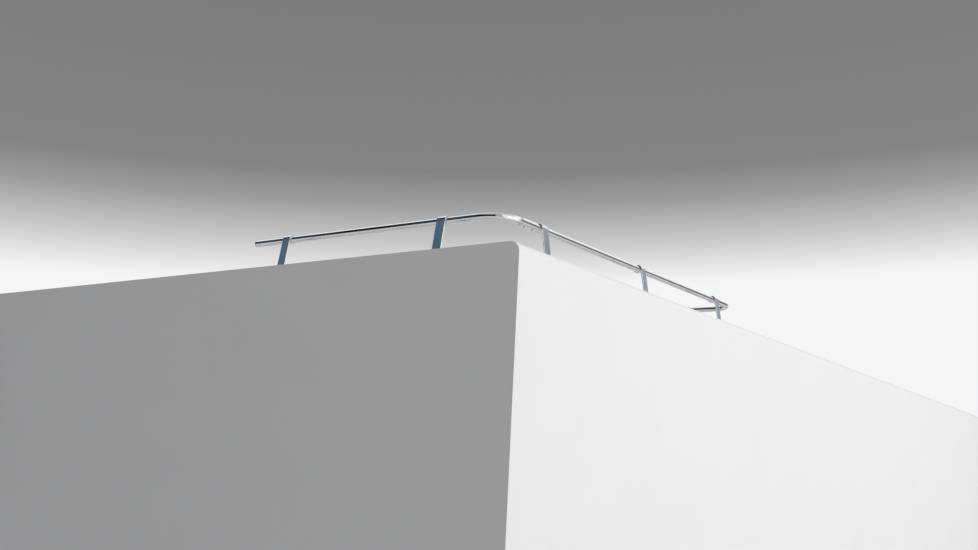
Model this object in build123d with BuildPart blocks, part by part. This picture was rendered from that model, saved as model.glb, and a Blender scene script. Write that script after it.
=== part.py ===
from build123d import *
from math import cos, radians, sin, tan
import os

# Roof luggage rail for the rear of a camper or travel trailer, in millimetres.
# A U of round aluminium tube, open towards the front of the roof, stands on seven bent
# flat-bar legs. X runs across the roof, +Y points to the front of the trailer, +Z is up.
# Z = 0 is the roof surface, and X = Y = 0 is the middle of the rail's footprint.

# ---- driving dimensions ----

# Rail
tube_diameter = 25.4
tube_wall = 1.65
rail_width = 2000.0  # between the centre lines of the two side arms
rail_height = 131.0  # roof to the tube's centre line
bend_radius = 101.6  # centre line of the two rear bends

# Leg spacing along the tube
leg_pitch = 762.0
corner_to_leg = 251.0  # rear tube's centre line to the first leg on an arm
arm_overhang = 180.8  # last leg on an arm to the tube's free end

# Legs: one flat bar, hooked over the tube at the top and turned outwards at the foot
bar_width = 38.1
bar_thickness = 4.76
leg_lean = 9.0  # degrees from upright, foot outwards
hook_clearance = 0.15
hook_tail = 11.0  # straight end of the hook, below the tube's centre line
foot_length = 54.0  # from the heel's sharp corner to the toe
foot_bend_inside = 6.0
corner_rounding = 7.0

# Roof fixings
foot_hole_spacing = 25.4
foot_hole_diameter = 6.6
gasket_thickness = 3.2
gasket_margin = 2.0

# Splice sleeves, slipped over the tubes where they meet beside each rear bend
sleeve_length = 101.6
sleeve_wall = 1.5
sleeve_clearance = 0.1
sleeve_chamfer = 0.5
joint_gap = 1.0  # between the tube ends inside a sleeve

# Screws with pan heads, one size for the hooks and one for the sleeves
hook_screw = {"shank": 4.8, "head": 9.6, "height": 3.0, "length": 14.0}
sleeve_screw = {"shank": 4.2, "head": 8.0, "height": 2.5, "length": 9.5}
screw_hole_clearance = 0.05  # on the radius
recess_span = 0.5  # cross recess, as a share of the head's diameter
recess_slot = 0.1
recess_depth = 0.5  # as a share of the head's height
crown_rounding = 0.7  # of a screw head's or plug head's height

# End plugs
plug_head = 3.0
plug_insert = 20.0
plug_ribs = 3
plug_rib_spacing = 5.0
plug_rib_thickness = 1.2
plug_rib_height = 0.5
plug_clearance = 0.1

# ---- worked out from them ----

tube_radius = tube_diameter / 2
bore_radius = tube_radius - tube_wall
half_width = rail_width / 2
arm_length = corner_to_leg + leg_pitch + arm_overhang
hook_radius = tube_radius + hook_clearance
lean = radians(leg_lean)

# The bar's inboard face comes off the hook and meets the foot's sole at the heel corner.
leg_run = (rail_height + hook_radius * sin(lean) - gasket_thickness) / cos(lean)
heel_offset = hook_radius * cos(lean) + leg_run * sin(lean)
heel_radius = foot_bend_inside + bar_thickness
heel_tangent = heel_radius * tan(radians(90 - leg_lean) / 2)
sole_length = foot_length - heel_tangent
sole_centre = heel_offset + heel_tangent + sole_length / 2
gasket_length = sole_length + 2 * gasket_margin
gasket_width = bar_width + 2 * gasket_margin
gasket_reach = sole_centre + gasket_length / 2

# The footprint runs from the rear gaskets to the plugs' heads, and is centred on Y = 0.
rear_y = (gasket_reach - arm_length - plug_head) / 2
free_y = rear_y + arm_length
joint_x = half_width - bend_radius - sleeve_length / 2
sleeve_radius = tube_radius + sleeve_clearance + sleeve_wall
hook_screw_hole = hook_screw["shank"] / 2 + screw_hole_clearance
sleeve_screw_hole = sleeve_screw["shank"] / 2 + screw_hole_clearance

# Each leg stands on a plane at the roof: x_dir points outwards, away from the luggage.
OUT_LEFT = (-1, 0, 0)
OUT_RIGHT = (1, 0, 0)
OUT_REAR = (0, -1, 0)
leg_rear_y = rear_y + corner_to_leg
leg_front_y = leg_rear_y + leg_pitch
leg_planes = {
    "left_front": Plane((-half_width, leg_front_y, 0), x_dir=OUT_LEFT),
    "left_rear": Plane((-half_width, leg_rear_y, 0), x_dir=OUT_LEFT),
    "rear_left": Plane((-leg_pitch, rear_y, 0), x_dir=OUT_REAR),
    "rear_middle": Plane((0, rear_y, 0), x_dir=OUT_REAR),
    "rear_right": Plane((leg_pitch, rear_y, 0), x_dir=OUT_REAR),
    "right_rear": Plane((half_width, leg_rear_y, 0), x_dir=OUT_RIGHT),
    "right_front": Plane((half_width, leg_front_y, 0), x_dir=OUT_RIGHT),
}

# Screw seats: the plane under the head, with its Z axis pointing out through the head.
hook_seat = Plane((-hook_radius - bar_thickness, 0, rail_height), z_dir=(-1, 0, 0))
hook_seats = {name: plane.location * hook_seat.location for name, plane in leg_planes.items()}


def sleeve_seats(side):
    """Seats of the two screws under the sleeve on one side, -1 left and 1 right."""
    seat_z = rail_height - sleeve_radius
    places = [side * (joint_x + offset) for offset in (sleeve_length / 4, -sleeve_length / 4)]
    return [Plane((x, rear_y, seat_z), z_dir=(0, 0, -1)).location for x in places]


def save(part, name):
    """Labels a finished piece and writes it under its own name."""
    part.label = name
    export_step(part, f"parts/{name}.step")


def pan_screw(size):
    """A pan-head screw with a cross recess, seated on XY with its shank along -Z."""
    shank_radius = size["shank"] / 2
    recess_length = size["head"] * recess_span
    recess_width = size["head"] * recess_slot
    with BuildPart() as screw:
        with BuildSketch():
            Circle(size["head"] / 2)
        extrude(amount=size["height"])
        crown = screw.edges().sort_by(Axis.Z)[-1]
        fillet(crown, radius=size["height"] * crown_rounding)
        with BuildSketch():
            Circle(shank_radius)
        extrude(amount=-size["length"])
        point = screw.edges().sort_by(Axis.Z)[0]
        chamfer(point, length=shank_radius / 2, length2=shank_radius)
        with BuildSketch(Plane.XY.offset(size["height"])):
            Rectangle(recess_length, recess_width)
            Rectangle(recess_width, recess_length)
        extrude(amount=-size["height"] * recess_depth, mode=Mode.SUBTRACT)
    return screw.part


os.makedirs("parts", exist_ok=True)

# ---- side rails: an arm, a rear bend and the short end that enters the sleeve ----

for side, side_name in ((-1, "left"), (1, "right")):
    seats = [hook_seats[f"{side_name}_front"], hook_seats[f"{side_name}_rear"]]
    with BuildPart() as side_rail:
        with BuildLine(Plane.XY.offset(rail_height)):
            FilletPolyline(
                (side * half_width, free_y),
                (side * half_width, rear_y),
                (side * (joint_x + joint_gap / 2), rear_y),
                radius=bend_radius,
            )
        with BuildSketch(Plane((side * half_width, free_y, rail_height), z_dir=(0, -1, 0))):
            Circle(tube_radius)
            Circle(bore_radius, mode=Mode.SUBTRACT)
        sweep()
        with Locations(*seats):
            Hole(hook_screw_hole, depth=tube_radius)
        with Locations(sleeve_seats(side)[0]):
            Hole(sleeve_screw_hole, depth=tube_radius)
    save(side_rail.part, f"{side_name}_side_rail")

# ---- rear rail: the straight tube between the two sleeves ----

with BuildPart() as rear_rail:
    with BuildSketch(Plane((0, rear_y, rail_height), z_dir=(1, 0, 0))):
        Circle(tube_radius)
        Circle(bore_radius, mode=Mode.SUBTRACT)
    extrude(amount=joint_x - joint_gap / 2, both=True)
    with Locations(*[hook_seats[f"rear_{place}"] for place in ("left", "middle", "right")]):
        Hole(hook_screw_hole, depth=tube_radius)
    with Locations(sleeve_seats(-1)[1], sleeve_seats(1)[1]):
        Hole(sleeve_screw_hole, depth=tube_radius)
save(rear_rail.part, "rear_rail")

# ---- splice sleeves ----

for side, side_name in ((-1, "left"), (1, "right")):
    with BuildPart() as sleeve:
        with BuildSketch(Plane((side * joint_x, rear_y, rail_height), z_dir=(1, 0, 0))):
            Circle(sleeve_radius)
            Circle(sleeve_radius - sleeve_wall, mode=Mode.SUBTRACT)
        extrude(amount=sleeve_length / 2, both=True)
        outer_rims = sleeve.edges().filter_by(GeomType.CIRCLE).group_by(SortBy.RADIUS)[-1]
        chamfer(outer_rims, length=sleeve_chamfer)
        with Locations(*sleeve_seats(side)):
            Hole(sleeve_screw_hole, depth=tube_radius)
    save(sleeve.part, f"{side_name}_splice_sleeve")

# ---- the leg, as one bent bar standing at the origin with its foot towards +X ----

with BuildPart() as bent_bar:
    with BuildSketch(Plane.XZ):
        with BuildLine():
            Line((-hook_radius, rail_height - hook_tail), (-hook_radius, rail_height))
            hook = CenterArc((0, rail_height), hook_radius, 180, leg_lean - 180)
            FilletPolyline(
                hook @ 1,
                (heel_offset, gasket_thickness),
                (heel_offset + foot_length, gasket_thickness),
                radius=heel_radius,
            )
            offset(amount=bar_thickness, side=Side.LEFT, closed=True)
        make_face()
    extrude(amount=bar_width / 2, both=True)
    toe_corners = bent_bar.edges().filter_by(Axis.Z).group_by(Axis.X)[-1]
    fillet(toe_corners, radius=corner_rounding)
    tail_corners = bent_bar.edges().filter_by(Axis.X).group_by(Axis.X)[0]
    fillet(tail_corners, radius=corner_rounding)
    with Locations(Plane.XY.offset(gasket_thickness + bar_thickness)):
        with Locations((sole_centre, 0)):
            with GridLocations(foot_hole_spacing, 0, 2, 1):
                Hole(foot_hole_diameter / 2, depth=bar_thickness)
    with Locations(hook_seat):
        Hole(hook_screw_hole, depth=2 * bar_thickness)

# ---- the gasket under a foot ----

with BuildPart() as foot_gasket:
    with BuildSketch():
        with Locations((sole_centre, 0)):
            RectangleRounded(gasket_length, gasket_width, corner_rounding)
            with GridLocations(foot_hole_spacing, 0, 2, 1):
                Circle(foot_hole_diameter / 2, mode=Mode.SUBTRACT)
    extrude(amount=gasket_thickness)

for name, plane in leg_planes.items():
    with BuildPart(plane) as leg:
        add(bent_bar.part)
    save(leg.part, f"leg_{name}")
    with BuildPart(plane) as gasket:
        add(foot_gasket.part)
    save(gasket.part, f"gasket_{name}")

# ---- screws: one in each hook, from the luggage side, and two under each sleeve ----

hook_pan_screw = pan_screw(hook_screw)
with BuildPart(*hook_seats.values()) as hook_screws:
    add(hook_pan_screw)
save(hook_screws.part, "hook_screws")

sleeve_pan_screw = pan_screw(sleeve_screw)
with BuildPart(*sleeve_seats(-1), *sleeve_seats(1)) as sleeve_screws:
    add(sleeve_pan_screw)
save(sleeve_screws.part, "sleeve_screws")

# ---- end plugs: a domed head on the tube's end and a ribbed insert in its bore ----

for side, side_name in ((-1, "left"), (1, "right")):
    with BuildPart() as end_plug:
        end_plane = Plane((side * half_width, free_y, rail_height), z_dir=(0, 1, 0))
        with BuildSketch(end_plane):
            Circle(tube_radius)
        extrude(amount=plug_head)
        head_rim = end_plug.edges().sort_by(Axis.Y)[-1]
        fillet(head_rim, radius=plug_head * crown_rounding)
        with BuildSketch(end_plane):
            Circle(bore_radius - plug_clearance - plug_rib_height)
        extrude(amount=-plug_insert)
        for rib in range(plug_ribs):
            with BuildSketch(end_plane.offset(-(rib + 1) * plug_rib_spacing)):
                Circle(bore_radius - plug_clearance)
            extrude(amount=-plug_rib_thickness)
    save(end_plug.part, f"{side_name}_end_plug")
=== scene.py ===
from math import acos, cos, pi, radians, sin, tan

import bmesh
import bpy
from mathutils import Matrix, Vector


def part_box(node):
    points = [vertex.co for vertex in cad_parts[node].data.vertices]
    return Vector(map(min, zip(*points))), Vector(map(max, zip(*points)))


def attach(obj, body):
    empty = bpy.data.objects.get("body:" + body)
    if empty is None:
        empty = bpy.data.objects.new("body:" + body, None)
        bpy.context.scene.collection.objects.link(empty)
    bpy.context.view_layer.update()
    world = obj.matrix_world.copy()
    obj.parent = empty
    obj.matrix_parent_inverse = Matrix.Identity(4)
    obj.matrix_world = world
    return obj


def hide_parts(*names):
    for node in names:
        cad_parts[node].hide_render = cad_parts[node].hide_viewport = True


# Looks of the roof luggage rail. Lengths are in metres, in the CAD frame: +Y is the open front
# end, Z = 0 is the surface that the gaskets stand on.

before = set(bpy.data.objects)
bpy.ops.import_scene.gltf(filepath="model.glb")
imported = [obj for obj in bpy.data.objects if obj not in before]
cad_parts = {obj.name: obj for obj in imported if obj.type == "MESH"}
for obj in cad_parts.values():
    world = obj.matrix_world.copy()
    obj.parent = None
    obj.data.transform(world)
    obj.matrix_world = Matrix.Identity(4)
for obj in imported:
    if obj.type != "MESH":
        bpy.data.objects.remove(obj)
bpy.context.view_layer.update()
scene = bpy.context.scene
scene.view_settings.view_transform = "Standard"

MM = 0.001

# ---- driving dimensions of the CAD part ----

TUBE_RADIUS = 12.7 * MM
TUBE_WALL = 1.65 * MM
BEND_RADIUS = 101.6 * MM
HOOK_CLEARANCE = 0.15 * MM
HOOK_TAIL = 11.0 * MM
LEAN = radians(9.0)
BAR_WIDTH = 38.1 * MM
BAR_THICKNESS = 4.76 * MM
FOOT_LENGTH = 54.0 * MM
FOOT_BEND_INSIDE = 6.0 * MM
CORNER_ROUNDING = 7.0 * MM
FOOT_HOLE_RADIUS = 3.3 * MM
FOOT_HOLE_SPACING = 25.4 * MM
GASKET_MARGIN = 2.0 * MM
SLEEVE_CLEARANCE = 0.1 * MM
JOINT_GAP = 1.0 * MM
PLUG_HEAD = 3.0 * MM
PLUG_INSERT = 20.0 * MM
PLUG_RIBS = 3
PLUG_RIB_SPACING = 5.0 * MM
PLUG_RIB_THICKNESS = 1.2 * MM
PLUG_RIB_HEIGHT = 0.5 * MM
PLUG_CLEARANCE = 0.1 * MM
HOOK_SCREW = {"shank": 4.8 * MM, "head": 9.6 * MM, "height": 3.0 * MM, "length": 14.0 * MM}
SLEEVE_SCREW = {"shank": 4.2 * MM, "head": 8.0 * MM, "height": 2.5 * MM, "length": 9.5 * MM}

BORE_RADIUS = TUBE_RADIUS - TUBE_WALL
HOOK_RADIUS = TUBE_RADIUS + HOOK_CLEARANCE
HEEL_RADIUS = FOOT_BEND_INSIDE + BAR_THICKNESS
SLEEVE_BORE_RADIUS = TUBE_RADIUS + SLEEVE_CLEARANCE

# ---- edge roundings, which only the visible pieces have ----

TUBE_EDGE = 0.3 * MM
SLEEVE_EDGE = 0.45 * MM
BAR_EDGE = 1.2 * MM
GASKET_EDGE = 0.5 * MM

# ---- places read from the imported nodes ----


def middle(node):
    low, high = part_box(node)
    return (low + high) / 2


rear_low, rear_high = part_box("rear_rail")
sleeve_low, sleeve_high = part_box("left_splice_sleeve")
GASKET_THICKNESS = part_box("gasket_rear_middle")[1].z
RAIL_HEIGHT = (rear_low.z + rear_high.z) / 2
REAR_Y = (rear_low.y + rear_high.y) / 2
REAR_END = rear_high.x
FREE_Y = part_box("left_side_rail")[1].y
HALF_WIDTH = -middle("left_end_plug").x
SLEEVE_LENGTH = sleeve_high.x - sleeve_low.x
SLEEVE_RADIUS = (sleeve_high.z - sleeve_low.z) / 2
SLEEVE_X = -(sleeve_low.x + sleeve_high.x) / 2

SIDES = ((-1, "left"), (1, "right"))
OUTWARD = {"left": Vector((-1, 0, 0)), "rear": Vector((0, -1, 0)), "right": Vector((1, 0, 0))}
LEG_NAMES = ("left_front", "left_rear", "rear_left", "rear_middle", "rear_right", "right_rear",
             "right_front")


def leg_stand(name):
    """A leg's outward direction, and the point at Z = 0 below the middle of its hook."""
    outward = OUTWARD[name.split("_")[0]]
    centre = middle(f"leg_{name}")
    if outward.x:
        return outward, Vector((outward.x * HALF_WIDTH, centre.y, 0))
    return outward, Vector((centre.x, REAR_Y, 0))


LEGS = {name: leg_stand(name) for name in LEG_NAMES}

# ---- materials ----


class Graph:
    """Short ways to add nodes to a node tree."""

    def __init__(self, tree):
        self.tree = tree

    def node(self, kind, **inputs):
        made = self.tree.nodes.new(kind)
        for name, value in inputs.items():
            self.put(made.inputs[name.replace("_", " ")], value)
        return made

    def put(self, socket, value):
        if isinstance(value, bpy.types.NodeSocket):
            self.tree.links.new(value, socket)
        else:
            socket.default_value = value

    def range(self, value, from_low, from_high, to_low, to_high):
        """Takes one range of values to another, eased at both ends and held beyond them."""
        made = self.node("ShaderNodeMapRange", Value=value, From_Min=from_low, From_Max=from_high,
                         To_Min=to_low, To_Max=to_high)
        made.interpolation_type = "SMOOTHSTEP"
        return made.outputs["Result"]

    def share(self, value, low, high):
        """0 below low and 1 above high, eased between them."""
        return self.range(value, low, high, 0.0, 1.0)

    def math(self, operation, a, b=0.0):
        made = self.node("ShaderNodeMath")
        made.operation = operation
        self.put(made.inputs[0], a)
        self.put(made.inputs[1], b)
        return made.outputs[0]

    def plus(self, value, share, amount):
        """value, with up to the amount added where the share is 1."""
        return self.math("ADD", value, self.math("MULTIPLY", share, amount))

    def mix(self, share, a, b):
        """Colour a where the share is 0 and b where it is 1. The node's colour sockets are its
        inputs 6 and 7 and its output 2."""
        made = self.node("ShaderNodeMix")
        made.data_type = "RGBA"
        self.put(made.inputs["Factor"], share)
        self.put(made.inputs[6], a)
        self.put(made.inputs[7], b)
        return made.outputs[2]


class Finish(Graph):
    """A node material. Its patterns are drawn in the piece's own straightened millimetres."""

    def __init__(self, name):
        self.material = bpy.data.materials.new(name)
        self.material.use_nodes = True
        super().__init__(self.material.node_tree)
        self.shader = self.tree.nodes["Principled BSDF"]
        grain = self.node("ShaderNodeAttribute")
        grain.attribute_name = "grain"
        self.grain = grain.outputs["Vector"]

    def set(self, **inputs):
        for name, value in inputs.items():
            self.put(self.shader.inputs[name.replace("_", " ")], value)

    def noise(self, stretch, detail=3.0, roughness=0.5, distortion=0.0):
        """Noise whose features are about stretch = (along, across, through) millimetres long."""
        scaled = self.node("ShaderNodeVectorMath")
        scaled.operation = "DIVIDE"
        self.put(scaled.inputs[0], self.grain)
        self.put(scaled.inputs[1], stretch)
        made = self.node("ShaderNodeTexNoise", Vector=scaled.outputs[0], Scale=1.0, Detail=detail,
                         Roughness=roughness, Distortion=distortion)
        return made.outputs["Fac"]

    def bump(self, height, depth, under=None):
        """Bumps of that depth in metres, over those of the normal under them."""
        made = self.node("ShaderNodeBump", Height=height, Distance=depth, Strength=1.0)
        if under is not None:
            self.put(made.inputs["Normal"], under)
        return made.outputs["Normal"]


# Bands of a noise's values: nearly all of them, and the middle ones.
MOST = (0.25, 0.75)
MIDDLE = (0.3, 0.7)


def grey(level, warmth=0.0):
    """A grey that is redder when its warmth is above 0, and bluer below."""
    return (level * (1 + warmth), level, level * (1 - warmth), 1.0)


def bright_tube(name, smoothest, roughest):
    """Bright drawn aluminium: die lines along the tube, faint clouding, scuffs and water spots."""
    finish = Finish(name)
    lines = finish.noise((260, 0.55, 0.55), detail=4, roughness=0.65)
    clouds = finish.noise((90, 14, 14), detail=4, roughness=0.6, distortion=0.4)
    spots = finish.noise((3.2, 3.2, 3.2), detail=1)
    scuffs = finish.noise((16, 0.8, 0.8), detail=5, roughness=0.7, distortion=0.8)
    spotted = finish.range(spots, 0.66, 0.74, 0.0, 0.5)
    scuffed = finish.share(scuffs, 0.64, 0.78)
    clean = finish.mix(finish.share(clouds, *MIDDLE), grey(0.93, -0.008), grey(0.84, 0.004))
    scratched = finish.mix(finish.math("MULTIPLY", scuffed, 0.5), clean, grey(0.70))
    colour = finish.mix(finish.math("MULTIPLY", spotted, 0.4), scratched, grey(0.66, 0.03))
    rough = finish.range(lines, *MOST, smoothest, roughest)
    rough = finish.plus(rough, scuffed, 0.10)
    rough = finish.plus(rough, spotted, 0.14)
    wavy = finish.bump(clouds, 0.04 * MM)
    finish.set(Base_Color=colour, Metallic=1.0, Roughness=rough,
               Normal=finish.bump(lines, 0.006 * MM, wavy))
    return finish.material


def rough_edges_with_painted_highlight(finish, clouds):
    """How much of a painted highlight, with extra roughness, the flat bar's edge has at a place: 1
    on the long edges of its shank and foot, and 0 on its faces and hook. The pieces are built in
    place, so object coordinates are the frame's."""
    across = finish.node("ShaderNodeSeparateXYZ", Vector=finish.grain).outputs["Y"]
    from_middle = finish.plus(finish.math("ABSOLUTE", across), clouds, 1.4)
    edge = BAR_WIDTH / MM / 2
    place = finish.node("ShaderNodeTexCoord").outputs["Object"]
    level = finish.node("ShaderNodeSeparateXYZ", Vector=place).outputs["Z"]
    # The painted highlight fades out up the shank, and is left off the hook.
    highlight_full_below, highlight_gone_above = RAIL_HEIGHT - 14 * MM, RAIL_HEIGHT - 6 * MM
    under_hook = finish.range(level, highlight_full_below, highlight_gone_above, 1.0, 0.0)
    return finish.math("MULTIPLY", finish.share(from_middle, edge - 0.9, edge + 0.6), under_hook)


def flat_bar(name):
    """Satin flat bar: brushed along its length, with dull spots. The long edges of the shank and
    foot are rougher, and painted pale as a highlight and made less metallic there; the hook's
    edges are left polished, without the painted highlight."""
    finish = Finish(name)
    lines = finish.noise((120, 0.35, 0.35), detail=5, roughness=0.7)
    clouds = finish.noise((35, 18, 18), detail=4, roughness=0.6)
    spots = finish.noise((2.2, 2.2, 2.2), detail=2)
    # Share of the painted highlight, and of the extra roughness, on the long edges of shank and foot
    edge_roughness_and_painted_highlight = rough_edges_with_painted_highlight(finish, clouds)
    spotted = finish.range(spots, 0.64, 0.72, 0.0, 0.15)
    clean = finish.mix(finish.share(clouds, *MIDDLE), grey(0.86, -0.02), grey(0.79, -0.02))
    dulled = finish.mix(spotted, clean, grey(0.56, 0.02))
    # Painted highlight: the long edges of shank and foot are painted pale grey
    colour = finish.mix(edge_roughness_and_painted_highlight, dulled, grey(0.94))
    rough = finish.range(lines, *MOST, 0.14, 0.22)
    rough = finish.plus(rough, spotted, 0.2)
    rough = finish.plus(rough, edge_roughness_and_painted_highlight, 0.30)
    wavy = finish.bump(clouds, 0.05 * MM)
    # Less metallic on the painted pale edges, so that they look lit
    finish.set(Base_Color=colour, Metallic=finish.range(edge_roughness_and_painted_highlight, 0.0, 1.0, 1.0, 0.55),
               Roughness=rough, Normal=finish.bump(lines, 0.01 * MM, wavy))
    return finish.material


def steel_screw(name):
    """Stainless screw: fine turning marks and a darker, warmer stain in patches."""
    finish = Finish(name)
    marks = finish.noise((0.25, 2.5, 2.5), detail=4, roughness=0.6)
    stain = finish.noise((1.6, 1.6, 1.6), detail=4, roughness=0.6)
    colour = finish.mix(finish.share(stain, 0.35, 0.7), grey(0.66, 0.02), grey(0.44, 0.04))
    finish.set(Base_Color=colour, Metallic=1.0, Roughness=finish.range(marks, *MOST, 0.18, 0.36),
               Normal=finish.bump(marks, 0.01 * MM))
    return finish.material


def rubber(name):
    """Weathered black rubber: dusty, matt, lightly pitted."""
    finish = Finish(name)
    dust = finish.noise((9, 9, 3), detail=5, roughness=0.65)
    pits = finish.noise((0.5, 0.5, 0.5), detail=3)
    colour = finish.mix(finish.share(dust, 0.4, 0.75), grey(0.014), grey(0.055, 0.06))
    finish.set(Base_Color=colour, Roughness=finish.range(dust, *MIDDLE, 0.62, 0.86),
               Normal=finish.bump(pits, 0.06 * MM))
    return finish.material


def black_plastic(name):
    """Moulded black plastic with a fine spark texture and a slightly chalky face."""
    finish = Finish(name)
    chalk = finish.noise((5, 5, 5), detail=5, roughness=0.6)
    spark = finish.noise((0.35, 0.35, 0.35), detail=2)
    colour = finish.mix(finish.share(chalk, 0.4, 0.75), grey(0.012), grey(0.034, 0.02))
    finish.set(Base_Color=colour, Roughness=finish.range(chalk, *MIDDLE, 0.36, 0.52),
               Normal=finish.bump(spark, 0.03 * MM))
    return finish.material


def plain_floor(name):
    """Pale matt board with a barely visible grain."""
    finish = Finish(name)
    place = finish.node("ShaderNodeTexCoord").outputs["Object"]
    mottle = finish.node("ShaderNodeTexNoise", Vector=place, Scale=3.0, Detail=6.0).outputs["Fac"]
    colour = finish.mix(mottle, grey(0.58, 0.004), grey(0.61, 0.004))
    finish.set(Base_Color=colour, Roughness=0.6)
    return finish.material


MATERIALS = {
    "rail_tube": bright_tube("drawn_aluminium_tube", smoothest=0.05, roughest=0.10),
    "splice_sleeve": bright_tube("aluminium_sleeve", smoothest=0.07, roughest=0.14),
    "leg_bar": flat_bar("satin_aluminium_bar"),
    "screw": steel_screw("stainless_screw"),
    "gasket": rubber("weathered_rubber"),
    "end_plug": black_plastic("moulded_plastic"),
}

# ---- mesh building ----
# A shape is made of points in a straightened frame: (along, across, through). A placing
# function puts them in space, and the straightened points stay on the mesh for its material.


class Shape:
    """Faces between points in space, with the same points in the straightened frame."""

    def __init__(self):
        self.points = []
        self.grain = []
        self.faces = []

    def add(self, straight, point):
        self.grain.append(straight)
        self.points.append(point)
        return len(self.points) - 1

    def loop(self, straight_points, place):
        return [self.add(p, place(*p)) for p in straight_points]

    def bridge(self, a, b):
        """A band of faces between two closed loops with equal numbers of points."""
        for k in range(len(a)):
            j = (k + 1) % len(a)
            self.faces.append((a[k], a[j], b[j], b[k]))

    def cap(self, loop):
        self.faces.append(tuple(loop))

    def join(self, other, matrix):
        """Takes in another shape, moved by the matrix."""
        start = len(self.points)
        self.points += [matrix @ Vector(p) for p in other.points]
        self.grain += other.grain
        self.faces += [tuple(start + k for k in face) for face in other.faces]

    def moved(self, matrix):
        copy = Shape()
        copy.join(self, matrix)
        return copy


def turn_faces_outwards(mesh):
    edit = bmesh.new()
    edit.from_mesh(mesh)
    bmesh.ops.recalc_face_normals(edit, faces=edit.faces)
    edit.to_mesh(mesh)
    edit.free()


def piece(name, shape, slot, nodes, shift=0.0, smooth_angle=40.0):
    """A finished mesh object that replaces CAD nodes. shift moves its pattern along the grain."""
    mesh = bpy.data.meshes.new(name)
    mesh.from_pydata([tuple(p) for p in shape.points], [], shape.faces)
    grain = mesh.attributes.new("grain", "FLOAT_VECTOR", "POINT")
    flat = []
    for along, across, through in shape.grain:
        flat += [(along + shift) / MM, across / MM, through / MM]
    grain.data.foreach_set("vector", flat)
    turn_faces_outwards(mesh)
    mesh.shade_smooth()
    mesh.set_sharp_from_angle(angle=radians(smooth_angle))
    mesh.materials.append(MATERIALS[slot])
    made = bpy.data.objects.new(name, mesh)
    scene.collection.objects.link(made)
    weighted = made.modifiers.new("weighted_normals", "WEIGHTED_NORMAL")
    weighted.keep_sharp = True
    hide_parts(*nodes)
    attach(made, "root")


def spread(start, end, steps):
    """Places from start to end, both included, that many even steps apart."""
    return [start + (end - start) * k / steps for k in range(steps + 1)]


def turned(profile, place, closed, segments=96):
    """A lathe shape from (along, radius) points, a tube when the profile is closed."""
    shape = Shape()
    circle = [(cos(a), sin(a)) for a in spread(0, 2 * pi, segments)[:-1]]
    loops = [shape.loop([(along, radius * x, radius * y) for x, y in circle], place)
             for along, radius in profile]
    for a, b in zip(loops, loops[1:]):
        shape.bridge(a, b)
    if closed:
        shape.bridge(loops[-1], loops[0])
    else:
        shape.cap(loops[0])
        shape.cap(loops[-1])
    return shape


def rounded(corner, before, after, radius, steps=4):
    """Points of a rounded profile corner, between the directions of its two neighbours."""
    corner, before, after = Vector(corner), Vector(before), Vector(after)
    a, b = (before - corner).normalized(), (after - corner).normalized()
    half = acos(max(-1.0, min(1.0, a.dot(b)))) / 2
    centre = corner + (a + b).normalized() * (radius / sin(half))
    start, end = corner + a * (radius / tan(half)), corner + b * (radius / tan(half))
    spokes = [(start - centre).lerp(end - centre, k / steps).normalized() for k in range(steps + 1)]
    return [tuple(centre + spoke * radius) for spoke in spokes]


# ---- tubes ----

ARM = FREE_Y - REAR_Y - BEND_RADIUS
BEND = BEND_RADIUS * pi / 2
SIDE_LENGTH = ARM + BEND + (HALF_WIDTH - BEND_RADIUS) - (REAR_END + JOINT_GAP)


def side_rail_place(side):
    """Places a straight tube, measured from its free end, along an arm and its rear bend."""

    def place(along, across, through):
        if along <= ARM:
            centre = Vector((side * HALF_WIDTH, FREE_Y - along, RAIL_HEIGHT))
            outward = Vector((side, 0, 0))
        else:
            angle = min((along - ARM) / BEND_RADIUS, pi / 2)
            outward = Vector((side * cos(angle), -sin(angle), 0))
            bend_x, bend_y = side * (HALF_WIDTH - BEND_RADIUS), REAR_Y + BEND_RADIUS
            centre = Vector((bend_x, bend_y, RAIL_HEIGHT)) + BEND_RADIUS * outward
            centre.x -= side * max(along - ARM - BEND, 0)
        return centre + across * outward + through * Vector((0, 0, 1))

    return place


def rear_place(along, across, through):
    """Places a straight tube, measured from X = 0, along the rear."""
    return Vector((along, REAR_Y - across, RAIL_HEIGHT + through))


def tube_profile(stations, outer, bore, edge):
    """Closed profile of a tube wall through the given stations, with eased ends."""
    start, end = stations[0], stations[-1]
    outside = [(s, outer) for s in stations[1:-1]]
    inside = [(s, bore) for s in reversed(stations[1:-1])]
    ends = [(start, bore), (start, outer), (end, outer), (end, bore)]
    eased = [rounded(ends[k], ends[k - 1], ends[(k + 1) % 4], edge) for k in range(4)]
    return eased[0] + eased[1] + outside + eased[2] + eased[3] + inside


arm_stations = [0.0] + spread(20 * MM, ARM, steps=12)[:-1]
bend_stations = spread(ARM, ARM + BEND, steps=60)
side_profile = tube_profile(arm_stations + bend_stations + [SIDE_LENGTH], TUBE_RADIUS, BORE_RADIUS,
                            TUBE_EDGE)
for side, side_name in SIDES:
    shape = turned(side_profile, side_rail_place(side), closed=True)
    piece(f"{side_name}_side_tube", shape, "rail_tube", [f"{side_name}_side_rail"], shift=side * 3.0)

rear_stations = spread(-REAR_END, REAR_END, steps=14)
rear_profile = tube_profile(rear_stations, TUBE_RADIUS, BORE_RADIUS, TUBE_EDGE)
piece("rear_tube", turned(rear_profile, rear_place, closed=True), "rail_tube", ["rear_rail"],
      shift=10.0)

for side, side_name in SIDES:
    centre_x = side * SLEEVE_X
    stations = spread(centre_x - SLEEVE_LENGTH / 2, centre_x + SLEEVE_LENGTH / 2, steps=6)
    sleeve_profile = tube_profile(stations, SLEEVE_RADIUS, SLEEVE_BORE_RADIUS, SLEEVE_EDGE)
    shape = turned(sleeve_profile, rear_place, closed=True)
    piece(f"{side_name}_sleeve", shape, "splice_sleeve", [f"{side_name}_splice_sleeve"], shift=15.0)

# ---- end plugs ----


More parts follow.
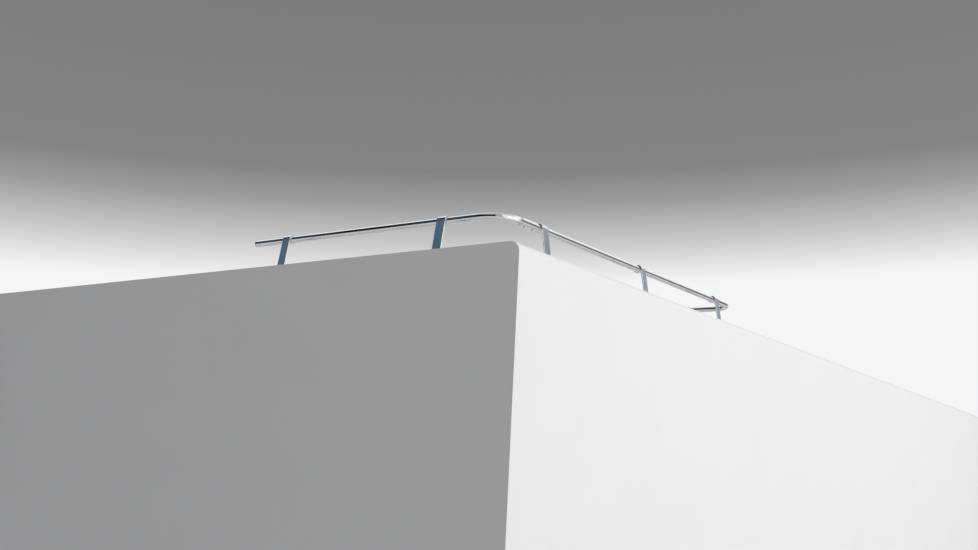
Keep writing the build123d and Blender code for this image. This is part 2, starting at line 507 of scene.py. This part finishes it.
def plug_profile():
    """Along the tube's axis from the dome's middle to the end of the ribbed insert."""
    rib_radius = BORE_RADIUS - PLUG_CLEARANCE
    core_radius = rib_radius - PLUG_RIB_HEIGHT
    dome_rise, dome_radius = 0.9 * MM, TUBE_RADIUS * 0.86
    dome = [(-PLUG_HEAD + dome_rise * (1 - cos(a)), dome_radius * sin(a))
            for a in spread(radians(3), radians(75), steps=12)]
    rim_corner = (-PLUG_HEAD + 0.75 * MM, TUBE_RADIUS)
    rim = rounded(rim_corner, dome[-1], (0, TUBE_RADIUS), radius=0.6 * MM, steps=6)
    seat_easing = 0.15 * MM
    seat = [(-seat_easing, TUBE_RADIUS), (0.0, TUBE_RADIUS - seat_easing), (0.0, core_radius)]
    ribs = []
    for rib in range(PLUG_RIBS):
        start = (rib + 1) * PLUG_RIB_SPACING
        crest_end, slope_end = start + PLUG_RIB_THICKNESS, start + PLUG_RIB_THICKNESS * 1.4
        ribs += [(start, core_radius), (start, rib_radius)]
        ribs += [(crest_end, rib_radius), (slope_end, core_radius)]
    tip_easing = 1 * MM
    tip = [(PLUG_INSERT - tip_easing, core_radius), (PLUG_INSERT, core_radius - tip_easing)]
    return dome + rim + seat + ribs + tip


for side, side_name in SIDES:
    shape = turned(plug_profile(), side_rail_place(side), closed=False)
    piece(f"{side_name}_plug", shape, "end_plug", [f"{side_name}_end_plug"])

# ---- plates with rounded corners: the bent legs and their gaskets ----

CORNER_STEPS = 8
EDGE_STEPS = 4
HOLE_SEGMENTS = 48


def outline_stations(start, end, between):
    """Spokes (along, direction along, direction across) round one half of a plate's outline."""
    first, last = start + CORNER_ROUNDING, end - CORNER_ROUNDING
    stations = [(first, -cos(a), sin(a)) for a in spread(0, pi / 2, CORNER_STEPS)]
    stations += [(s, 0.0, 1.0) for s in between]
    stations += [(last, sin(a), cos(a)) for a in spread(0, pi / 2, CORNER_STEPS)]
    return stations


def edge_levels(thickness, edge):
    """(inset, height) of the outlines from a plate's bottom face to its top one."""
    quarter = [(edge * (1 - sin(a)), edge * (1 - cos(a))) for a in spread(0, pi / 2, EDGE_STEPS)]
    return quarter + [(inset, thickness - lift) for inset, lift in reversed(quarter)]


def hole_rims(shape, centre, levels, place):
    """Builds a hole's wall, and gives its bottom and top rims."""
    rings = []
    for inset, height in levels:
        radius = FOOT_HOLE_RADIUS + inset
        ring = [(centre + radius * cos(a), radius * sin(a), height)
                for a in spread(0, 2 * pi, HOLE_SEGMENTS)[:-1]]
        rings.append(shape.loop(ring, place))
    for a, b in zip(rings, rings[1:]):
        shape.bridge(a, b)
    return rings[0], rings[-1]


def faces_round_hole(shape, rim, right, left):
    """Four faces between a hole's rim and the stretches of outline on its right and left."""
    eighth = HOLE_SEGMENTS // 8
    starts = range(-eighth, 7 * eighth, 2 * eighth)
    arcs = [[rim[(start + k) % HOLE_SEGMENTS] for k in range(2 * eighth, -1, -1)]
            for start in starts]
    ahead, right_side, behind, left_side = arcs
    shape.cap([left[-1], right[-1]] + ahead)
    shape.cap(right[::-1] + right_side)
    shape.cap([right[0], left[0]] + behind)
    shape.cap(left + left_side)


def plate(stations, width, thickness, edge, holes, place):
    """A flat bar or pad. stations go along one half of its outline, and the other half mirrors
    them. holes are (centre, station before, station after): the faces round a hole replace the
    plain ones between those two stations."""
    shape = Shape()
    corner_across = width / 2 - CORNER_ROUNDING
    levels = edge_levels(thickness, edge)
    loops = []
    for inset, height in levels:
        reach = CORNER_ROUNDING - inset
        half = [(s + ds * reach, corner_across + dw * reach) for s, ds, dw in stations]
        loop = [(s, w, height) for s, w in half] + [(s, -w, height) for s, w in reversed(half)]
        loops.append(shape.loop(loop, place))
    for a, b in zip(loops, loops[1:]):
        shape.bridge(a, b)

    outlines = (loops[0], loops[-1])
    mirror = 2 * len(stations) - 1
    holed = set()
    for centre, before, after in holes:
        holed |= set(range(before, after))
        for loop, rim in zip(outlines, hole_rims(shape, centre, levels, place)):
            right = [loop[k] for k in range(before, after + 1)]
            left = [loop[mirror - k] for k in range(before, after + 1)]
            faces_round_hole(shape, rim, right, left)
    for loop in outlines:
        for k in range(len(stations) - 1):
            if k not in holed:
                shape.faces.append((loop[k], loop[k + 1], loop[mirror - k - 1], loop[mirror - k]))
    return shape


# The bar's inboard face, as lengths along it from the end of the hook.
HOOK_START = HOOK_TAIL
HOOK_TURN = pi - LEAN
SHANK_START = HOOK_START + HOOK_RADIUS * HOOK_TURN
HEEL_TURN = pi / 2 - LEAN
HEEL_TANGENT = HEEL_RADIUS * tan(HEEL_TURN / 2)
SHANK_RUN = (RAIL_HEIGHT + HOOK_RADIUS * sin(LEAN) - GASKET_THICKNESS) / cos(LEAN)
HEEL_START = SHANK_START + SHANK_RUN - HEEL_TANGENT
SOLE_START = HEEL_START + HEEL_RADIUS * HEEL_TURN
SOLE_LENGTH = FOOT_LENGTH - HEEL_TANGENT
BAR_END = SOLE_START + SOLE_LENGTH
HEEL_REACH = HOOK_RADIUS * cos(LEAN) + SHANK_RUN * sin(LEAN)
SOLE_START_REACH = HEEL_REACH + HEEL_TANGENT
SOLE_CENTRE_REACH = SOLE_START_REACH + SOLE_LENGTH / 2


def bent_bar_place(along, across, through):
    """Bends the flat bar over the tube, down the lean and out at the foot."""
    if along < HOOK_START:
        reach, height = -HOOK_RADIUS - through, RAIL_HEIGHT - HOOK_TAIL + along
    elif along < SHANK_START:
        angle = pi - (along - HOOK_START) / HOOK_RADIUS
        reach = (HOOK_RADIUS + through) * cos(angle)
        height = RAIL_HEIGHT + (HOOK_RADIUS + through) * sin(angle)
    elif along < HEEL_START:
        run = along - SHANK_START
        reach = (HOOK_RADIUS + through) * cos(LEAN) + run * sin(LEAN)
        height = RAIL_HEIGHT + (HOOK_RADIUS + through) * sin(LEAN) - run * cos(LEAN)
    elif along < SOLE_START:
        angle = LEAN + (along - HEEL_START) / HEEL_RADIUS
        reach = SOLE_START_REACH - (HEEL_RADIUS - through) * cos(angle)
        height = GASKET_THICKNESS + HEEL_RADIUS - (HEEL_RADIUS - through) * sin(angle)
    else:
        reach, height = SOLE_START_REACH + along - SOLE_START, GASKET_THICKNESS + through
    return Vector((reach, across, height))


hook_stations = spread(HOOK_START, SHANK_START, steps=38)
shank_stations = spread(SHANK_START, HEEL_START, steps=4)[1:-1]
heel_stations = spread(HEEL_START, SOLE_START, steps=18)
sole_middle = SOLE_START + SOLE_LENGTH / 2
leg_between = hook_stations + shank_stations + heel_stations + [sole_middle]
leg_stations = outline_stations(0.0, BAR_END, leg_between)
corner_count = CORNER_STEPS + 1
sole_start_station = corner_count + len(leg_between) - 2
sole_middle_station = sole_start_station + 1
last_station = len(leg_stations) - 1
leg_holes = [
    (sole_middle - FOOT_HOLE_SPACING / 2, sole_start_station, sole_middle_station),
    (sole_middle + FOOT_HOLE_SPACING / 2, sole_middle_station, last_station),
]
bent_bar = plate(leg_stations, BAR_WIDTH, BAR_THICKNESS, BAR_EDGE, leg_holes, bent_bar_place)

gasket_start = SOLE_CENTRE_REACH - SOLE_LENGTH / 2 - GASKET_MARGIN
gasket_end = SOLE_CENTRE_REACH + SOLE_LENGTH / 2 + GASKET_MARGIN
gasket_stations = outline_stations(gasket_start, gasket_end, [SOLE_CENTRE_REACH])
gasket_middle_station = corner_count
gasket_holes = [
    (SOLE_CENTRE_REACH - FOOT_HOLE_SPACING / 2, 0, gasket_middle_station),
    (SOLE_CENTRE_REACH + FOOT_HOLE_SPACING / 2, gasket_middle_station, len(gasket_stations) - 1),
]
foot_pad = plate(gasket_stations, BAR_WIDTH + 2 * GASKET_MARGIN, GASKET_THICKNESS, GASKET_EDGE,
                 gasket_holes, lambda along, across, through: Vector((along, across, through)))


def leg_matrix(outward, foot):
    """Stands a leg built at the origin, with its foot towards +X, in its own place."""
    across = Vector((0, 0, 1)).cross(outward)
    return Matrix.Translation(foot) @ Matrix((outward, across, (0, 0, 1))).transposed().to_4x4()


PATTERN_STEP = 0.4  # metres along the grain, between the patterns of one leg and the next

for number, (name, (outward, foot)) in enumerate(LEGS.items(), start=1):
    matrix = leg_matrix(outward, foot)
    shift = number * PATTERN_STEP
    piece(f"leg_bar_{name}", bent_bar.moved(matrix), "leg_bar", [f"leg_{name}"], shift)
    piece(f"gasket_pad_{name}", foot_pad.moved(matrix), "gasket", [f"gasket_{name}"], shift)

# ---- screws ----

RECESS_ARM = 0.5  # half of the cross recess's span, as a share of the head's radius
RECESS_SLOT = 0.13  # half of its width, as a share of the head's radius
RECESS_DEPTH = 0.55  # as a share of the head's height


def cut(target, cutter):
    """Takes the cutter object's shape out of the target mesh object, and removes the cutter."""
    boolean = target.modifiers.new("cut", "BOOLEAN")
    boolean.operation = "DIFFERENCE"
    boolean.solver = "EXACT"
    boolean.object = cutter
    evaluated = target.evaluated_get(bpy.context.evaluated_depsgraph_get())
    result = bpy.data.meshes.new_from_object(evaluated)
    target.modifiers.clear()
    target.data = result
    bpy.data.objects.remove(cutter)


def loose_object(name, shape):
    """A mesh object that stands for no CAD node: a blank, a cutter or the stage."""
    mesh = bpy.data.meshes.new(name)
    mesh.from_pydata([tuple(p) for p in shape.points], [], shape.faces)
    made = bpy.data.objects.new(name, mesh)
    scene.collection.objects.link(made)
    turn_faces_outwards(mesh)
    return made


def screw_profile(size):
    """(height, radius) from the top of the head to the tip. The thread is a stack of rings."""
    head, shank = size["head"] / 2, size["shank"] / 2
    height, length = size["height"], size["length"]
    crown = [(height * (0.30 + 0.70 * cos(a)), head * sin(a) ** 0.62)
             for a in spread(radians(2), radians(90), steps=16)]
    easing, neck = 0.15 * MM, 0.2 * MM
    under = [(0.12 * MM, head), (0.0, head - easing), (0.0, shank + neck), (-neck, shank)]
    pitch, root = shank * 0.42, shank * 0.86
    thread = []
    for ring in range(int((length - 1.6 * shank) / pitch)):
        top = -0.6 * MM - ring * pitch
        thread += [(top, root), (top - pitch * 0.42, shank), (top - pitch * 0.58, shank)]
    point = [(-length + shank * 0.9, shank * 0.8), (-length, shank * 0.45)]
    return crown + under + thread + point


def recess_blade(size, turn):
    """One bar of the cross recess. It starts above the head and shortens downwards."""
    arm, slot = size["head"] / 2 * RECESS_ARM, size["head"] / 2 * RECESS_SLOT
    top, bottom = size["height"] * 1.2, size["height"] - size["height"] * RECESS_DEPTH
    spin = Matrix.Rotation(turn, 4, "Z")
    blade = Shape()
    rims = []
    for level, taper in ((top, 1.1), (bottom, 0.55)):
        reach = arm * taper
        corners = [(reach, slot, level), (-reach, slot, level), (-reach, -slot, level),
                   (reach, -slot, level)]
        rims.append(blade.loop(corners, lambda *corner: spin @ Vector(corner)))
    blade.bridge(*rims)
    for rim in rims:
        blade.cap(rim)
    return blade


def pan_screw(size):
    """A pan-head screw with a cross recess, seated on Z = 0 with its shank down."""
    blank = turned(screw_profile(size), lambda along, x, y: Vector((x, y, along)), closed=False,
                   segments=48)
    screw = loose_object("screw_blank", blank)
    for turn in (0.0, pi / 2):
        cut(screw, loose_object("recess", recess_blade(size, turn)))
    made = Shape()
    for vertex in screw.data.vertices:
        made.add((vertex.co.z, vertex.co.x, vertex.co.y), vertex.co.copy())
    made.faces = [tuple(polygon.vertices) for polygon in screw.data.polygons]
    bpy.data.objects.remove(screw)
    return made


def screws(name, size, seats, node):
    """One object holding a screw at each seat, each stopped at its own angle."""
    one = pan_screw(size)
    group = Shape()
    for number, seat in enumerate(seats):
        stopped_at = radians(20 + 137.5 * number)
        group.join(one, seat @ Matrix.Rotation(stopped_at, 4, "Z"))
    piece(name, group, "screw", [node], smooth_angle=32.0)


hook_face = Matrix.Translation((-HOOK_RADIUS - BAR_THICKNESS, 0, RAIL_HEIGHT))
hook_head = hook_face @ Matrix.Rotation(-pi / 2, 4, "Y")
hook_seats = [leg_matrix(outward, foot) @ hook_head for outward, foot in LEGS.values()]
screws("hook_screw_set", HOOK_SCREW, hook_seats, "hook_screws")

upside_down = Matrix.Rotation(pi, 4, "X")
under_z = RAIL_HEIGHT - SLEEVE_RADIUS
sleeve_seats = [
    Matrix.Translation((side * (SLEEVE_X + offset), REAR_Y, under_z)) @ upside_down
    for side, _ in SIDES
    for offset in (SLEEVE_LENGTH / 4, -SLEEVE_LENGTH / 4)
]
screws("sleeve_screw_set", SLEEVE_SCREW, sleeve_seats, "sleeve_screws")

# ---- stage: a wide pale block with an eased rear edge, its top at Z = 0 ----
# Its left and rear edges stand a little outside the feet, and hide them from the low camera.

STAGE_LEFT = -HALF_WIDTH - 0.130
STAGE_RIGHT = 7.5
STAGE_BACK = REAR_Y - 0.159
STAGE_FRONT = 4.5
STAGE_BOTTOM = -3.0
STAGE_EASING = 0.037


def pale_block():
    """The block's section in Y and Z, from the front over the top and down the back, and the
    block between two of these sections."""
    section = [(STAGE_FRONT, STAGE_BOTTOM), (STAGE_FRONT, 0.0)]
    section += [(STAGE_BACK + STAGE_EASING * (1 - sin(a)), -STAGE_EASING * (1 - cos(a)))
                for a in spread(0, pi / 2, steps=12)]
    section += [(STAGE_BACK, STAGE_BOTTOM)]
    shape = Shape()
    ends = [shape.loop([(x, y, z) for y, z in section], lambda *corner: Vector(corner))
            for x in (STAGE_LEFT, STAGE_RIGHT)]
    shape.bridge(*ends)
    for end in ends:
        shape.cap(end)
    block = loose_object("floor", shape)
    block.data.shade_smooth()
    block.data.set_sharp_from_angle(angle=radians(30))
    block.data.materials.append(plain_floor("pale_floor"))


pale_block()

# ---- light ----

# What the metal mirrors: a pale floor and bright walls, with cards in front of them. A card has a
# colour, headings in degrees from straight ahead to the right, and heights as the sine of the
# elevation. Each one lies over those before it. Headings end at 180, straight behind, so what
# stands there takes two rows.
ROOM_FLOOR = grey(0.60)
ROOM_WALLS = grey(0.95)
HORIZON = (-0.08, 0.06)
CARDS = [
    # Ceiling, and the ground to the left and ahead
    ((0.44, 0.44, 0.45), (-200, 200), (0.81, 2.00)),
    ((0.56, 0.57, 0.59), (-125, 25), (-2.00, 0.05)),
    # The left side, grey at its rear end and then nearly black round to straight ahead
    ((0.40, 0.40, 0.41), (-150, -120), (-0.10, 0.90)),
    ((0.004, 0.005, 0.007), (-124, -8), (-0.05, 0.80)),
    ((0.012, 0.012, 0.013), (-20, 26), (-0.05, 0.56)),
    # Blue, mirrored by the front and the rear leg of the left arm
    ((0.20, 0.34, 0.47), (-41.5, -34), (0.36, 0.42)),
    ((0.22, 0.41, 0.60), (-50.5, -45), (0.42, 0.48)),
    # Greys, mirrored by the rear tube and its legs
    ((0.12, 0.12, 0.13), (104, 138), (-0.10, 0.22)),
    ((0.18, 0.19, 0.22), (121, 138), (0.22, 0.42)),
    ((0.17, 0.18, 0.22), (114, 121), (0.22, 0.42)),
    ((0.32, 0.38, 0.46), (100, 114), (0.20, 0.36)),
    # White wall behind, brighter in its middle
    ((0.84, 0.84, 0.85), (143, 200), (-0.85, 0.95)),
    ((0.84, 0.84, 0.85), (-200, -160), (-0.85, 0.95)),
    ((1.15, 1.15, 1.15), (150, 200), (-0.10, 0.60)),
    ((1.15, 1.15, 1.15), (-200, -165), (-0.10, 0.60)),
]
HEADING_BLUR = 2  # degrees
HEIGHT_BLUR = 0.03

# What the camera sees: a backdrop that is white at the horizon and grey above, as heights and
# levels of grey. Its upward direction leans, so that its bands lie level in the picture.
BACKDROP = [(0.177, 0.92), (0.216, 0.59), (0.255, 0.335), (0.285, 0.23), (0.45, 0.20)]
BACKDROP_UP = (-0.030, 0.042, 0.999)


def studio_world():
    """Shows camera rays the plain backdrop, and mirrors and matt surfaces the room."""
    world = bpy.data.worlds.new("studio")
    scene.world = world
    world.use_nodes = True
    graph = Graph(world.node_tree)
    direction = graph.node("ShaderNodeTexCoord").outputs["Generated"]
    parts = graph.node("ShaderNodeSeparateXYZ", Vector=direction)
    height = parts.outputs["Z"]
    heading = graph.math("DEGREES", graph.math("ARCTAN2", parts.outputs["X"], parts.outputs["Y"]))

    def within(value, low, high, blur):
        """1 between low and high and 0 outside, with blurred edges."""
        return graph.math("MULTIPLY", graph.share(value, low - blur, low + blur),
                          graph.range(value, high - blur, high + blur, 1.0, 0.0))

    room = graph.mix(graph.share(height, *HORIZON), ROOM_FLOOR, ROOM_WALLS)
    for colour, headings, heights in CARDS:
        share = graph.math("MULTIPLY", within(heading, *headings, HEADING_BLUR),
                           within(height, *heights, HEIGHT_BLUR))
        room = graph.mix(share, room, (*colour, 1))

    rise = graph.node("ShaderNodeVectorMath")
    rise.operation = "DOT_PRODUCT"
    graph.put(rise.inputs[0], direction)
    graph.put(rise.inputs[1], BACKDROP_UP)
    ramp = graph.node("ShaderNodeValToRGB", Fac=rise.outputs["Value"])
    elements = ramp.color_ramp.elements
    while len(elements) < len(BACKDROP):
        elements.new(0.5)
    for element, (place, level) in zip(elements, BACKDROP):
        element.position = place
        element.color = grey(level)
    seen = graph.node("ShaderNodeLightPath").outputs["Is Camera Ray"]
    graph.put(world.node_tree.nodes["Background"].inputs["Color"],
              graph.mix(seen, room, ramp.outputs["Color"]))


def softbox(name, place, target, size, radiance):
    """A soft rectangular lamp that lights matt surfaces. Camera and mirrors don't see it."""
    width, height = size
    light = bpy.data.lights.new(name, "AREA")
    light.shape = "RECTANGLE"
    light.size, light.size_y = width, height
    light.energy = radiance * pi * width * height
    made = bpy.data.objects.new(name, light)
    made.location = place
    made.rotation_euler = (Vector(target) - Vector(place)).to_track_quat("-Z", "Y").to_euler()
    made.visible_camera = False
    made.visible_glossy = False
    scene.collection.objects.link(made)


studio_world()
softbox("top_softbox", (0.0, 0.0, 3.2), (0.0, 0.0, 0.0), size=(3.5, 3.0), radiance=0.9)
softbox("rear_softbox", (3.0, -6.0, 0.6), (3.0, 0.0, -0.4), size=(14.0, 4.0), radiance=2.5)
softbox("left_softbox", (-6.5, 1.0, 0.2), (-1.0, 1.0, -0.6), size=(6.0, 4.0), radiance=0.6)

# ---- camera: low behind the left rear corner, looking up across the rail ----

CAMERA_HEADING = radians(54.3482)  # from straight ahead to the right
CAMERA_PITCH = radians(10.8297)
CAMERA_ROLL = radians(3.0065)
CAMERA_LENS = 37.445  # millimetres, as is the sensor's width
CAMERA_SENSOR = 36.0
LEFT_OF_RAIL = 2.702345
BEHIND_RAIL = 1.892890
BELOW_RAIL = 0.840650


def add_camera():
    """Looks along its heading, tilted up by its pitch and then rolled about its own axis."""
    forward = Vector((sin(CAMERA_HEADING) * cos(CAMERA_PITCH),
                      cos(CAMERA_HEADING) * cos(CAMERA_PITCH), sin(CAMERA_PITCH)))
    level = Vector((cos(CAMERA_HEADING), -sin(CAMERA_HEADING), 0.0))
    upward = level.cross(forward)
    right = level * cos(CAMERA_ROLL) + upward * sin(CAMERA_ROLL)
    up = upward * cos(CAMERA_ROLL) - level * sin(CAMERA_ROLL)
    camera = bpy.data.objects.new("camera", bpy.data.cameras.new("camera"))
    camera.data.sensor_width = CAMERA_SENSOR
    camera.data.lens = CAMERA_LENS
    camera.data.clip_start, camera.data.clip_end = 0.05, 100.0
    turned_to = Matrix((right, up, -forward)).transposed().to_4x4()
    stand = (-HALF_WIDTH - LEFT_OF_RAIL, REAR_Y - BEHIND_RAIL, RAIL_HEIGHT - BELOW_RAIL)
    camera.matrix_world = Matrix.Translation(stand) @ turned_to
    scene.collection.objects.link(camera)
    scene.camera = camera


add_camera()
